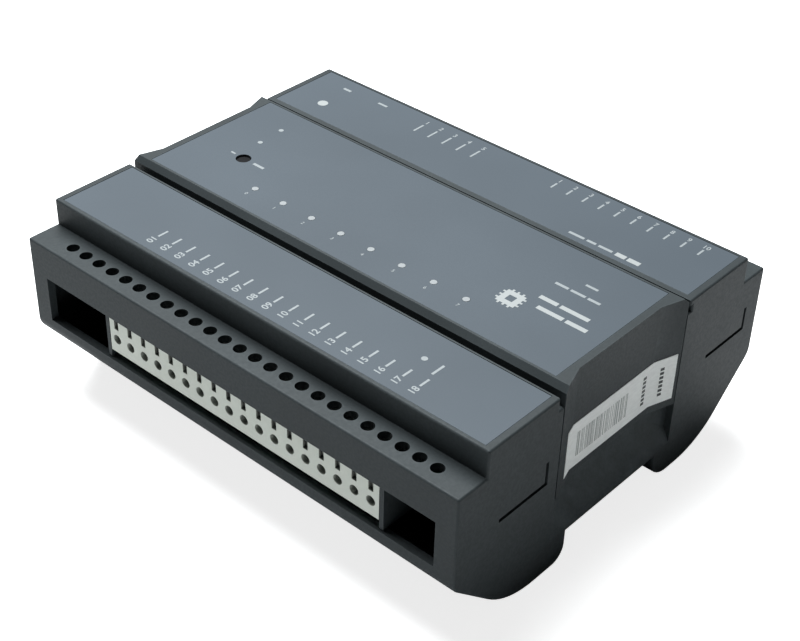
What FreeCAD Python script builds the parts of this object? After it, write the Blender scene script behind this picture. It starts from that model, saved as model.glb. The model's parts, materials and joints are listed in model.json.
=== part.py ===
import FreeCAD, Part
import os
import re

import Sketcher

# DIN-rail controller module.
# Frame: origin at the middle of the footprint on the mounting side, X along the terminal rows,
# Y from the front terminal row to the rear one, Z up from the feet to the centre cover.
# All sizes are millimetres.

SIZES = [
    ("body_length", 144.0, "housing length along the terminal rows"),
    ("body_depth", 120.0, "housing depth, front face to rear face"),
    ("body_height", 54.8, "feet to the top of the centre cover"),
    ("wall", 2.2, "wall thickness of the top housing"),
    ("end_wall", 2.4, "thickness of the end walls"),
    ("ledge_depth", 9.4, "depth of the screw ledges"),
    ("ledge_height", 45.8, "top of the screw ledges"),
    ("shoulder_height", 53.3, "top of the shoulders"),
    ("face_bottom", 19.0, "lower edge of the front and rear faces"),
    ("groove_edge", 26.0, "half width at the inner edge of the shoulders"),
    ("groove_floor", 49.8, "floor of the grooves beside the centre cover"),
    ("rear_lip", 24.9, "half width at the lip that narrows the rear groove"),
    ("lip_rise", 1.8, "thickness of that lip"),
    ("cover_edge", 24.0, "half width of the centre cover"),
    ("cover_bevel", 1.4, "bevel along the long edges of the cover"),
    ("cover_skin", 1.8, "thickness of the centre cover"),
    ("opening_half", 22.0, "half width of the opening under the cover"),
    ("toe_reach", 39.5, "half width where the chamfer would meet the floor"),
    ("toe_radius", 25.0, "rounding between chamfer and foot"),
    ("face_bend", 5.0, "rounding between the faces and the chamfers"),
    ("edge_radius", 0.6, "rounding of the outer edges"),
    ("foot_edge", 18.0, "half width of the rail channel"),
    ("hook_foot_radius", 4.5, "rounding of the inner corner of the front foot"),
    ("latch_foot_radius", 7.5, "rounding of the inner corner of the rear foot"),
    ("channel_height", 8.5, "ceiling of the rail channel"),
    ("base_skin", 2.0, "wall thickness of the base"),
    ("tray_rim", 4.0, "rim of the base tray behind the faces"),
    ("tray_bend", 45.0, "half width of the tray at its bend"),
    ("tray_bend_height", 8.0, "height of that bend"),
    ("tray_floor", 30.5, "half width of the level tray floor"),
    ("recess_depth", 2.6, "depth of the end recess"),
    ("recess_flank", 8.0, "run of each slanted recess flank"),
    ("recess_floor", 9.8, "lower end of the end recess"),
    ("recess_slope", 19.5, "height where the slanted floor of the recess begins"),
    ("skirt_bottom", 22.5, "lower edge of the cover skirts"),
    ("fit_gap", 0.2, "gap between housing pieces"),
    ("seam_gap", 0.4, "visible seam beside the skirts"),
    ("pole_pitch", 5.08, "terminal pitch"),
    ("first_pole", -60.0, "position of the first screw hole"),
    ("hole_setback", 4.9, "screw holes behind the face"),
    ("hole_radius", 1.7, "screw access holes"),
    ("window_low", 22.8, "lower edge of the terminal windows"),
    ("window_high", 36.0, "upper edge of the terminal windows"),
    ("window_half", 66.0, "half length of the terminal windows"),
    ("slot_width", 1.1, "width of the latch slots in the end walls"),
    ("slot_height", 29.6, "height of the level leg of the latch slots"),
    ("slot_rise", 7.0, "rise of the upright leg of the latch slots"),
    ("slot_run", 17.4, "length of the level leg of the latch slots"),
    ("front_slot_start", -45.4, "front latch slot, forward end"),
    ("rear_slot_start", 36.6, "rear latch slot, forward end"),
    ("film_skin", 0.25, "thickness of the printed films"),
    ("film_recess", 0.3, "depth of the film recesses"),
    ("film_margin", 2.0, "frame left around the films"),
    ("label_skin", 0.15, "thickness of the end label"),
    ("label_low", 24.8, "lower edge of the end label"),
    ("label_high", 38.5, "upper edge of the end label"),
    ("board_bottom", 23.9, "underside of the main board"),
    ("board_skin", 1.6, "thickness of the main board"),
    ("board_half_length", 64.4, "half length of the main board"),
    ("board_half_depth", 56.0, "half depth of the main board"),
    ("board_notch", 9.0, "depth of the board notches beside the terminal blocks"),
    ("rib_skin", 1.2, "thickness of the ribs beside the terminal blocks"),
    ("panel_bottom", 44.8, "underside of the indicator board"),
    ("panel_skin", 1.2, "thickness of the indicator board"),
    ("panel_half_length", 58.0, "half length of the indicator board"),
    ("panel_half_depth", 20.0, "half depth of the indicator board"),
    ("header_pitch", 2.54, "pitch of the board header"),
    ("header_start", 12.0, "first header pin, along X"),
    ("header_row", 14.0, "middle of the two header rows, along Y"),
    ("spacer_place_x", 52.0, "board spacers from the middle, along X"),
    ("spacer_place_y", 15.0, "board spacers from the middle, along Y"),
    ("boss_place_x", 58.0, "housing screws from the middle, along X"),
    ("boss_place_y", 32.0, "housing screws from the middle, along Y"),
    ("boss_radius", 3.2, "screw bosses"),
    ("screw_radius", 1.3, "housing screw shank"),
    ("screw_head_radius", 2.8, "housing screw head"),
    ("screw_seat", 4.0, "depth of the screw head pockets"),
    ("screw_head_rise", 2.0, "height of the housing screw head"),
    ("screw_tip", 34.0, "height the housing screws reach"),
    ("block_front", 0.6, "terminal block face behind the housing face"),
    ("block_depth", 10.5, "depth of the terminal blocks"),
    ("block_rise", 14.4, "height of the terminal blocks"),
    ("entry_rise", 4.2, "wire entries above the main board"),
    ("entry_radius", 1.35, "radius of a wire entry"),
    ("chamber_rise", 11.0, "ceiling of the clamp chambers above the main board"),
    ("clamp_seat", 1.2, "open wire clamps above the main board"),
    ("clamp_rise", 8.0, "height of a wire clamp"),
    ("clamp_half_width", 1.95, "half width of a wire clamp"),
    ("clamp_wall", 0.5, "side walls of a wire clamp"),
    ("clamp_front", 1.8, "wire clamps behind the block face"),
    ("clamp_depth", 6.0, "depth of a wire clamp"),
    ("contact_rise", 7.3, "contact tongues above the main board"),
    ("contact_back", 8.6, "back of the contacts behind the block face"),
    ("contact_skin", 0.6, "thickness of a contact"),
    ("head_seat", 11.6, "seat of the clamp screw heads above the main board"),
    ("head_rise", 2.2, "height of a clamp screw head"),
    ("head_radius", 1.75, "radius of a clamp screw head"),
    ("shank_radius", 1.2, "radius of a clamp screw"),
    ("rail_latch_place", 36.0, "rail latches and hooks from the middle, along X"),
    ("latch_half_width", 6.9, "half width of a rail latch"),
    ("latch_top", 7.3, "top of the latch and of the hooks"),
    ("latch_rise", 4.6, "height of a latch at its guide"),
    ("latch_nose", 15.9, "tip of the latch nose"),
    ("latch_tail", 46.8, "end of the latch tail"),
    ("hook_reach", 1.8, "reach of the fixed hooks under the rail"),
    ("hook_rise", 3.2, "height of the fixed hooks"),
    ("guide_skin", 2.4, "thickness of the guide roof above the latch"),
    ("spring_start", 21.4, "forward end of the latch springs"),
    ("spring_length", 13.4, "length of the latch springs at rest"),
    ("spring_pitch", 1.7, "pitch of the latch springs"),
    ("spring_radius", 1.35, "coil radius of the latch springs"),
    ("spring_wire", 0.3, "wire radius of the latch springs"),
    ("led_pitch", 10.16, "pitch of the channel indicators"),
    ("first_led", -37.0, "first channel indicator"),
    ("led_row", -13.2, "row of channel indicators"),
    ("pipe_radius", 0.95, "radius of a light pipe"),
    ("button_place_x", -50.3, "reset button, along X"),
    ("button_place_y", -4.7, "reset button, along Y"),
    ("button_radius", 2.0, "radius of the reset button"),
    ("button_top", 54.2, "top of the reset button"),
]

LEDGE_HOLES = 25
FRONT_POLES = range(4, 22)
REAR_IO_POLES = range(15, 25)
REAR_POWER_POLES = range(6, 11)
CHANNELS = 8
SIDES = (-1, 1)

doc = FreeCAD.newDocument("ControllerModule")
sheet = doc.addObject("Spreadsheet::Sheet", "Sizes")
for row, (alias, size, note) in enumerate(SIZES, start=1):
    sheet.set("A%d" % row, note)
    sheet.set("B%d" % row, str(size))
    sheet.setAlias("B%d" % row, alias)
doc.recompute()

ALIASES = {alias for alias, size, note in SIZES}
nodes = []


def bound(text):
    """Turns a formula over size names into one the document can follow."""
    def owner(match):
        return "Sizes." + match.group() if match.group() in ALIASES else match.group()
    return re.sub(r"[a-z_]+", owner, str(text))


def value(text):
    """Present number of a formula over size names."""
    return float(sheet.evalExpression(bound(text)))


def node(obj, name):
    """Marks an object as a sub-part of its own."""
    obj.Label = name
    nodes.append(obj)
    return obj


def new_body(name):
    body = doc.addObject("PartDesign::Body", name + "_body")
    body.AllowCompound = True
    return node(body, name)


def new_sketch(body, role, height="0"):
    """Empty sketch on an origin plane of the body, lifted by a height along the plane's normal."""
    plane = next(f for f in body.Origin.OriginFeatures if f.Role == role)
    sketch = body.newObject("Sketcher::SketchObject", body.Label + "_sketch")
    sketch.AttachmentSupport = [(plane, "")]
    sketch.MapMode = "FlatFace"
    sketch.setExpression("AttachmentOffset.Base.z", bound(height))
    return sketch


def place_point(sketch, element, position, across, up):
    """Ties a point of a sketch to two formulas, measured from the sketch origin."""
    for kind, formula in (("DistanceX", across), ("DistanceY", up)):
        rule = Sketcher.Constraint(kind, -1, 1, element, position, value(formula))
        index = sketch.addConstraint(rule)
        sketch.setExpression("Constraints[%d]" % index, bound(formula))


def outline(sketch, corners):
    """Closed outline through corners given as pairs of formulas."""
    points = [FreeCAD.Vector(value(across), value(up), 0) for across, up in corners]
    first = sketch.GeometryCount
    count = len(points)
    for i in range(count):
        sketch.addGeometry(Part.LineSegment(points[i], points[(i + 1) % count]))
    for i in range(count):
        after = first + (i + 1) % count
        sketch.addConstraint(Sketcher.Constraint("Coincident", first + i, 2, after, 1))
    for i, (across, up) in enumerate(corners):
        place_point(sketch, first + i, 1, across, up)


def rectangle(sketch, left, right, low, high):
    outline(sketch, [(left, low), (right, low), (right, high), (left, high)])


def circle(sketch, across, up, radius):
    centre = FreeCAD.Vector(value(across), value(up), 0)
    index = sketch.addGeometry(Part.Circle(centre, FreeCAD.Vector(0, 0, 1), value(radius)))
    place_point(sketch, index, 3, across, up)
    rule = sketch.addConstraint(Sketcher.Constraint("Radius", index, value(radius)))
    sketch.setExpression("Constraints[%d]" % rule, bound(radius))


def extrude(body, kind, sketch, length, symmetric):
    feature = body.newObject("PartDesign::" + kind, body.Label + "_" + kind.lower())
    feature.Profile = sketch
    feature.setExpression("Length", bound(length))
    if symmetric:
        feature.SideType = "Symmetric"
    return feature


def pad(body, sketch, length, symmetric=False):
    return extrude(body, "Pad", sketch, length, symmetric)


def upright(body, kind, low, high, draw):
    """Pad or pocket between two heights. draw fills the level sketch."""
    start = low if kind == "Pad" else high
    sketch = new_sketch(body, "XY_Plane", start)
    draw(sketch)
    return extrude(body, kind, sketch, "(%s) - (%s)" % (high, low), False)


def lengthwise(body, kind, corners, length, middle="0"):
    """Pad or pocket of an end-view outline, centred on a place along X."""
    sketch = new_sketch(body, "YZ_Plane", middle)
    outline(sketch, corners)
    return extrude(body, kind, sketch, length, True)


def crosswise(body, kind, draw, length, middle):
    """Pad or pocket of a front-view drawing, centred on a place along Y."""
    sketch = new_sketch(body, "XZ_Plane", "-(%s)" % middle)
    draw(sketch)
    return extrude(body, kind, sketch, length, True)


def round_edges(body, radius, chosen):
    """Rounds the edges of the body's last feature that a test picks out."""
    doc.recompute()
    base = body.Tip
    names = ["Edge%d" % i for i, edge in enumerate(base.Shape.Edges, start=1) if chosen(edge)]
    feature = body.newObject("PartDesign::Fillet", body.Label + "_fillet")
    feature.Base = (base, names)
    feature.setExpression("Radius", bound(radius))
    return feature


def runs_along_x(edge, across, height):
    """True for an edge along X that passes through a place in the end view, on either side."""
    box = edge.BoundBox
    straight = box.YLength < 0.01 and box.ZLength < 0.01 and box.XLength > 1
    return straight and abs(abs(box.YMin) - across) < 0.01 and abs(box.ZMin - height) < 0.01


def mirror_outline(half):
    """Adds the mirror image in Y of a half outline that starts and ends on the same side."""
    return half + [("-(%s)" % across, up) for across, up in reversed(half)]


def box(name, low, high):
    """Block between two corners, each three formulas."""
    block = doc.addObject("Part::Box", name)
    for axis, side, start, end in zip("xyz", ("Length", "Width", "Height"), low, high):
        block.setExpression("Placement.Base." + axis, bound(start))
        block.setExpression(side, bound("(%s) - (%s)" % (end, start)))
    return block


def post(name, across, along, low, high, radius):
    """Upright cylinder."""
    rod = doc.addObject("Part::Cylinder", name)
    for axis, formula in zip("xyz", (across, along, low)):
        rod.setExpression("Placement.Base." + axis, bound(formula))
    rod.setExpression("Height", bound("(%s) - (%s)" % (high, low)))
    rod.setExpression("Radius", bound(radius))
    return rod


def group(name, members):
    """One sub-part that holds several separate solids of the same sort."""
    bundle = doc.addObject("Part::Compound", name + "_group")
    bundle.Links = members
    return node(bundle, name)


def pole(index):
    """Position of a terminal pole along X."""
    return "first_pole + pole_pitch * %d" % index


# ---------------------------------------------------------------- top housing
HALF = "body_depth / 2"
END = "body_length / 2"
SHOULDER = HALF + " - ledge_depth"
INNER_END = END + " - end_wall"
SKIRT_FACE = END + " - recess_depth"
RECESS_FLAT = "cover_edge - recess_flank"
SKIRT_BACK = SKIRT_FACE + " - cover_skin"
INNER_WALL = SKIRT_BACK + " - fit_gap - end_wall"
WEB = "groove_edge + 0.7"


def recess_outline(flush, middle, edge, flat, outside):
    """Level outline of what lies outside a slanted end recess, on the +X or -X end."""
    return [
        (outside, "-(%s)" % edge), (flush, "-(%s)" % edge), (middle, "-(%s)" % flat),
        (middle, flat), (flush, edge), (outside, edge),
    ]


def signed(side, formula):
    return formula if side > 0 else "-(%s)" % formula


def mirrored_in_x(side, corners):
    return [(signed(side, across), up) for across, up in corners]


FEET = [
    ("toe_reach", "0"), ("foot_edge", "0"), ("foot_edge", "channel_height"),
    ("-foot_edge", "channel_height"), ("-foot_edge", "0"), ("-toe_reach", "0"),
]

top = new_body("top_housing")
lengthwise(top, "Pad", mirror_outline([
    ("-(%s)" % HALF, "face_bottom"), ("-(%s)" % HALF, "ledge_height"),
    ("-(%s)" % SHOULDER, "ledge_height"), ("-(%s)" % SHOULDER, "shoulder_height"),
    ("-groove_edge", "shoulder_height"), ("-groove_edge", "groove_floor"),
]) + FEET, "body_length")


# lip along the rear groove
lengthwise(top, "Pad", [
    ("rear_lip", "shoulder_height - lip_rise"), ("groove_edge + 1", "shoulder_height - lip_rise"),
    ("groove_edge + 1", "shoulder_height"), ("rear_lip", "shoulder_height"),
], "body_length")


def round_feet(body):
    round_edges(body, "toe_radius", lambda e: runs_along_x(e, value("toe_reach"), 0))
    for side, radius in ((-1, "hook_foot_radius"), (1, "latch_foot_radius")):
        round_edges(body, radius, lambda e: (
            runs_along_x(e, value("foot_edge"), 0) and side * e.BoundBox.YMin > 0))


round_feet(top)
round_edges(top, "face_bend", lambda e: runs_along_x(e, value(HALF), value("face_bottom")))
round_edges(top, "edge_radius", lambda e: (
    abs(e.BoundBox.XMin) > value(END) - 0.01 and e.BoundBox.XLength < 0.01
    or runs_along_x(e, value(HALF), value("ledge_height"))
    or runs_along_x(e, value(SHOULDER), value("shoulder_height"))))

# hollow between the end walls of the recesses, open at the bottom
CEILING_Y = "groove_edge + wall"
UNDER_GROOVE = "groove_floor - wall"
UNDER_SHOULDER = "shoulder_height - wall"
UNDER_LEDGE = "ledge_height - wall"
BEHIND_FACE = HALF + " - wall"
BEHIND_STEP = SHOULDER + " - wall"
lengthwise(top, "Pocket", mirror_outline([
    ("-(%s)" % BEHIND_FACE, "-1"), ("-(%s)" % BEHIND_FACE, UNDER_LEDGE),
    ("-(%s)" % BEHIND_STEP, UNDER_LEDGE), ("-(%s)" % BEHIND_STEP, UNDER_SHOULDER),
    ("-(%s)" % CEILING_Y, UNDER_SHOULDER), ("-(%s)" % CEILING_Y, UNDER_GROOVE),
]), "2 * (%s)" % INNER_WALL)

# the front and rear chambers run on to the outer end walls
for side in SIDES:
    lengthwise(top, "Pocket", [(signed(side, across), up) for across, up in [
        (WEB, "-1"), (WEB, UNDER_GROOVE), (CEILING_Y, UNDER_GROOVE), (CEILING_Y, UNDER_SHOULDER),
        (BEHIND_STEP, UNDER_SHOULDER), (BEHIND_STEP, UNDER_LEDGE), (BEHIND_FACE, UNDER_LEDGE),
        (BEHIND_FACE, "-1"),
    ]], "2 * (%s)" % INNER_END)

# opening under the centre cover
upright(top, "Pocket", UNDER_GROOVE + " - 1", "groove_floor + 1", lambda sketch: rectangle(
    sketch, "-(%s) + 2" % INNER_WALL, INNER_WALL + " - 2", "-opening_half", "opening_half"))

# slanted end recesses that take the skirts of the cover
for side in SIDES:
    recess = recess_outline(
        END + " - cover_skin - fit_gap", SKIRT_BACK + " - fit_gap",
        "cover_edge + seam_gap", RECESS_FLAT + " + 0.6", END + " + 1")
    upright(top, "Pocket", "recess_floor", "body_height + 1",
            lambda sketch: outline(sketch, mirrored_in_x(side, recess)))

# the recess runs out to the lip above the channel over a slanted floor
for side in SIDES:
    crosswise(top, "Pad", lambda sketch: outline(sketch, mirrored_in_x(side, [
        (INNER_WALL + " + 1", "recess_floor - 0.5"), (END, "recess_floor - 0.5"), (END, "recess_floor"),
        (SKIRT_BACK + " - fit_gap", "recess_slope"), (INNER_WALL + " + 1", "recess_slope"),
    ])), "2 * (cover_edge + seam_gap)", "0")

# screw access holes along both ledges
def draw_ledge_holes(sketch):
    for side in SIDES:
        for index in range(LEDGE_HOLES):
            circle(sketch, pole(index), signed(side, HALF + " - hole_setback"), "hole_radius")


upright(top, "Pocket", UNDER_LEDGE + " - 1", "ledge_height + 1", draw_ledge_holes)

# terminal windows in the front and rear faces
for side in SIDES:
    lengthwise(top, "Pocket", [(signed(side, across), up) for across, up in [
        (HALF + " + 1", "window_low"), (HALF + " + 1", "window_high"),
        (BEHIND_FACE + " - 1", "window_high"), (BEHIND_FACE + " - 1", "window_low"),
    ]], "2 * window_half")

# L-shaped latch slots through the end walls
for start in ("front_slot_start", "rear_slot_start"):
    lengthwise(top, "Pocket", [
        (start, "slot_height"), (start + " + slot_run", "slot_height"),
        (start + " + slot_run", "slot_height + slot_rise"),
        (start + " + slot_run - slot_width", "slot_height + slot_rise"),
        (start + " + slot_run - slot_width", "slot_height + slot_width"),
        (start, "slot_height + slot_width"),
    ], "body_length + 2")

# shallow beds for the printed films on the shoulders
FILM_OUTER = SHOULDER + " - 1.2"
FILM_INNER = "groove_edge + 0.5"
for side in SIDES:
    low, high = sorted((signed(side, FILM_OUTER), signed(side, FILM_INNER)), key=value)
    upright(top, "Pocket", "shoulder_height - film_recess", "shoulder_height + 1", lambda sketch: rectangle(
        sketch, "-(%s) + film_margin" % END, END + " - film_margin", low, high))

# ribs hang from the ledges beside the ends of the terminal blocks
BOARD_TOP = "board_bottom + board_skin"
BLOCK_FACE = HALF + " - block_front"
for side, poles in ((-1, FRONT_POLES), (1, REAR_IO_POLES), (1, REAR_POWER_POLES)):
    for end, index in ((-1, poles[0]), (1, poles[-1])):
        across = sorted((pole(index) + " + %d * (pole_pitch / 2 + fit_gap)" % end,
                         pole(index) + " + %d * (pole_pitch / 2 + fit_gap + rib_skin)" % end), key=value)
        along = sorted((signed(side, BLOCK_FACE),
                        signed(side, BLOCK_FACE + " - block_depth - 1.4")), key=value)
        upright(top, "Pad", "window_low + 0.4", UNDER_LEDGE + " + 0.5",
                lambda sketch: rectangle(sketch, *across, *along))

# bosses for the housing screws hang from the shoulders down to the main board


def draw_bosses(radius):
    def draw(sketch):
        for side_x in SIDES:
            for side_y in SIDES:
                circle(sketch, signed(side_x, "boss_place_x"), signed(side_y, "boss_place_y"), radius)
    return draw


upright(top, "Pad", BOARD_TOP, UNDER_SHOULDER + " + 0.5", draw_bosses("boss_radius"))
upright(top, "Pocket", BOARD_TOP, "screw_tip + 2", draw_bosses("screw_radius + 0.05"))

# ---------------------------------------------------------------- base housing
base = new_body("base_housing")
BASE_END = INNER_END + " - fit_gap"
BASE_RIM = BEHIND_FACE + " - fit_gap"
RIM_LOW = "face_bottom * (%s - toe_reach) / (%s - toe_reach)" % (BASE_RIM, HALF)
lengthwise(base, "Pad", [
    ("-(%s)" % BASE_RIM, RIM_LOW), ("-(%s)" % BASE_RIM, "face_bottom - 0.1"),
    (BASE_RIM, "face_bottom - 0.1"), (BASE_RIM, RIM_LOW),
] + FEET, "2 * (%s)" % BASE_END)
round_feet(base)

# the middle of each end gives way to the recessed end walls of the top housing
for side in SIDES:
    upright(base, "Pocket", "-1", "body_height", lambda sketch: rectangle(
        sketch, *sorted((signed(side, INNER_WALL + " - fit_gap"), signed(side, END)), key=value),
        "-(%s) - fit_gap" % WEB, WEB + " + fit_gap"))

# hollow tray, its floor following the feet and the channel
FLOOR_EDGE = "foot_edge + base_skin"
TRAY_EDGE = HALF + " - tray_rim"
CORNER_EDGE = "foot_edge + latch_foot_radius"
CORNER_HEIGHT = "latch_foot_radius"
CHANNEL_FLOOR = "channel_height + base_skin"
lengthwise(base, "Pocket", [
    ("-(%s)" % TRAY_EDGE, "face_bottom + 1"), ("-(%s)" % TRAY_EDGE, "face_bottom"),
    ("-tray_bend", "tray_bend_height"), ("-tray_floor", "base_skin"),
    ("-(%s)" % CORNER_EDGE, "base_skin"), ("-(%s)" % FLOOR_EDGE, CORNER_HEIGHT),
    ("-(%s)" % FLOOR_EDGE, CHANNEL_FLOOR), (FLOOR_EDGE, CHANNEL_FLOOR),
    (FLOOR_EDGE, CORNER_HEIGHT), (CORNER_EDGE, "base_skin"), ("tray_floor", "base_skin"),
    ("tray_bend", "tray_bend_height"), (TRAY_EDGE, "face_bottom"),
    (TRAY_EDGE, "face_bottom + 1"),
], "2 * (%s - base_skin - fit_gap)" % INNER_WALL)
for side in SIDES:
    lengthwise(base, "Pocket", [(signed(side, across), up) for across, up in [
        (WEB + " + base_skin", "face_bottom + 1"), (WEB + " + base_skin", "base_skin"),
        ("tray_floor", "base_skin"), ("tray_bend", "tray_bend_height"), (TRAY_EDGE, "face_bottom"),
        (TRAY_EDGE, "face_bottom + 1"),
    ]], "2 * (%s - base_skin)" % BASE_END)

# board posts, with a support in the middle of each side
upright(base, "Pad", "base_skin - 0.5", "board_bottom", draw_bosses("boss_radius + 0.2"))


def draw_middle_posts(sketch):
    for side in SIDES:
        circle(sketch, "0", signed(side, "boss_place_y"), "boss_radius - 0.6")


upright(base, "Pad", "base_skin - 0.5", "board_bottom", draw_middle_posts)
upright(base, "Pocket", "-1", "board_bottom + 1", draw_bosses("screw_radius + 0.3"))
upright(base, "Pocket", "-1", "screw_seat + screw_head_rise", draw_bosses("screw_head_radius + 0.3"))

# fixed rail hooks on the front foot and latch guides in the rear foot
LATCH_LOW = "latch_top - latch_rise"
SPRING_STOP = "spring_start + spring_length + 0.4"
for side in SIDES:
    place = signed(side, "rail_latch_place")
    lengthwise(base, "Pad", [
        ("-foot_edge - 1", "latch_top - hook_rise"), ("-foot_edge + 0.4", "latch_top - hook_rise"),
        ("-foot_edge + hook_reach", "latch_top - hook_reach"), ("-foot_edge + hook_reach", "latch_top"),
        ("-foot_edge - 1", "latch_top"),
    ], "2 * latch_half_width", place)
    lengthwise(base, "Pad", [
        ("foot_edge + 0.5", "4.8"), ("foot_edge + 4.5", "1"), ("33", "1"), ("44.5", "6.5"),
        ("48.5", "latch_top + guide_skin"),
        ("foot_edge + 0.5", "latch_top + guide_skin"),
    ], "2 * latch_half_width + 4", place)
    lengthwise(base, "Pocket", [
        ("foot_edge - 1", LATCH_LOW + " - 0.1"), (HALF, LATCH_LOW + " - 0.1"),
        (HALF, "latch_top + 0.1"), ("foot_edge - 1", "latch_top + 0.1"),
    ], "2 * latch_half_width + 0.2", place)
    lengthwise(base, "Pocket", [
        ("foot_edge - 1", "-1"), (HALF, "-1"), (HALF, LATCH_LOW), ("foot_edge - 1", LATCH_LOW),
    ], "2 * latch_half_width - 2.8", place)
    lengthwise(base, "Pad", [
        (SPRING_STOP, "latch_top - 3.4"), (SPRING_STOP + " + 1.4", "latch_top - 3.4"),
        (SPRING_STOP + " + 1.4", "latch_top + 0.6"), (SPRING_STOP, "latch_top + 0.6"),
    ], "4.4", place)

# ---------------------------------------------------------------- centre cover
cover = new_body("centre_cover")
COVER_UNDER = "body_height - cover_skin"
lengthwise(cover, "Pad", mirror_outline([
    ("-cover_edge", "groove_floor"), ("-cover_edge", "body_height - cover_bevel"),
    ("-cover_edge + cover_bevel", "body_height"),
]), "body_length")
upright(cover, "Pad", "skirt_bottom", "groove_floor", lambda sketch: rectangle(
    sketch, "-(%s)" % END, END, "-cover_edge", "cover_edge"))
upright(cover, "Pocket", "skirt_bottom - 1", "groove_floor", lambda sketch: outline(sketch, [
    (END + " - cover_skin", "cover_edge + 1"), (END + " - cover_skin", "cover_edge"),
    (SKIRT_BACK, RECESS_FLAT), (SKIRT_BACK, "-(%s)" % RECESS_FLAT),
    (END + " - cover_skin", "-cover_edge"), (END + " - cover_skin", "-cover_edge - 1"),
    ("-(%s) + cover_skin" % END, "-cover_edge - 1"), ("-(%s) + cover_skin" % END, "-cover_edge"),
    ("-(%s)" % SKIRT_BACK, "-(%s)" % RECESS_FLAT), ("-(%s)" % SKIRT_BACK, RECESS_FLAT),
    ("-(%s) + cover_skin" % END, "cover_edge"), ("-(%s) + cover_skin" % END, "cover_edge + 1"),
]))
upright(cover, "Pocket", "groove_floor - 1", COVER_UNDER, lambda sketch: rectangle(
    sketch, "-(%s)" % SKIRT_BACK, SKIRT_BACK, "-cover_edge + cover_skin", "cover_edge - cover_skin"))
for side in SIDES:
    shape = recess_outline(END, SKIRT_FACE, "cover_edge", RECESS_FLAT, END + " + 1")
    upright(cover, "Pocket", "skirt_bottom - 1", "body_height + 1",
            lambda sketch: outline(sketch, mirrored_in_x(side, shape)))

# bed for the film, indicator holes and button hole
FILM_HALF_X = SKIRT_FACE + " - film_margin"
FILM_HALF_Y = "cover_edge - cover_bevel - 0.6"
upright(cover, "Pocket", "body_height - film_recess", "body_height + 1", lambda sketch: rectangle(
    sketch, "-(%s)" % FILM_HALF_X, FILM_HALF_X, "-(%s)" % FILM_HALF_Y, FILM_HALF_Y))


def led_place(channel):
    return "first_led + led_pitch * %d" % channel


def draw_indicator_holes(sketch):
    for channel in range(CHANNELS):
        circle(sketch, led_place(channel), "led_row", "pipe_radius + 0.05")
    circle(sketch, "button_place_x", "button_place_y", "button_radius + 0.1")


upright(cover, "Pocket", COVER_UNDER + " - 1", "body_height + 1", draw_indicator_holes)

# ---------------------------------------------------------------- printed films and end label
centre_film = new_body("centre_film")


def draw_centre_film(sketch):
    rectangle(sketch, "-(%s) + 0.1" % FILM_HALF_X, FILM_HALF_X + " - 0.1",
              "-(%s) + 0.1" % FILM_HALF_Y, FILM_HALF_Y + " - 0.1")
    draw_indicator_holes(sketch)


upright(centre_film, "Pad", "body_height - film_recess", "body_height - film_recess + film_skin",
        draw_centre_film)
for side, name in ((-1, "front_film"), (1, "rear_film")):
    low, high = sorted((signed(side, FILM_OUTER), signed(side, FILM_INNER)), key=value)
    bed = "shoulder_height - film_recess"
    node(box(name + "_sheet", ("-(%s) + film_margin + 0.1" % END, low + " + 0.1", bed),
             (END + " - film_margin - 0.1", high + " - 0.1", bed + " + film_skin")), name)

side_label = new_body("side_label")
FLANK_SLOPE = "recess_depth / recess_flank"
LABEL_FRONT = "3.4"
LABEL_REAR = "7.0"
upright(side_label, "Pad", "label_low", "label_high", lambda sketch: outline(sketch, [
    (SKIRT_FACE + " + %s * %s" % (FLANK_SLOPE, LABEL_FRONT), "-(%s) - %s" % (RECESS_FLAT, LABEL_FRONT)),
    (SKIRT_FACE, "-(%s)" % RECESS_FLAT), (SKIRT_FACE, RECESS_FLAT),
    (SKIRT_FACE + " + %s * %s" % (FLANK_SLOPE, LABEL_REAR), RECESS_FLAT + " + " + LABEL_REAR),
    (SKIRT_FACE + " + %s * %s + label_skin" % (FLANK_SLOPE, LABEL_REAR), RECESS_FLAT + " + " + LABEL_REAR),
    (SKIRT_FACE + " + label_skin", RECESS_FLAT), (SKIRT_FACE + " + label_skin", "-(%s)" % RECESS_FLAT),
    (SKIRT_FACE + " + %s * %s + label_skin" % (FLANK_SLOPE, LABEL_FRONT),
     "-(%s) - %s" % (RECESS_FLAT, LABEL_FRONT)),
]))

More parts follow.
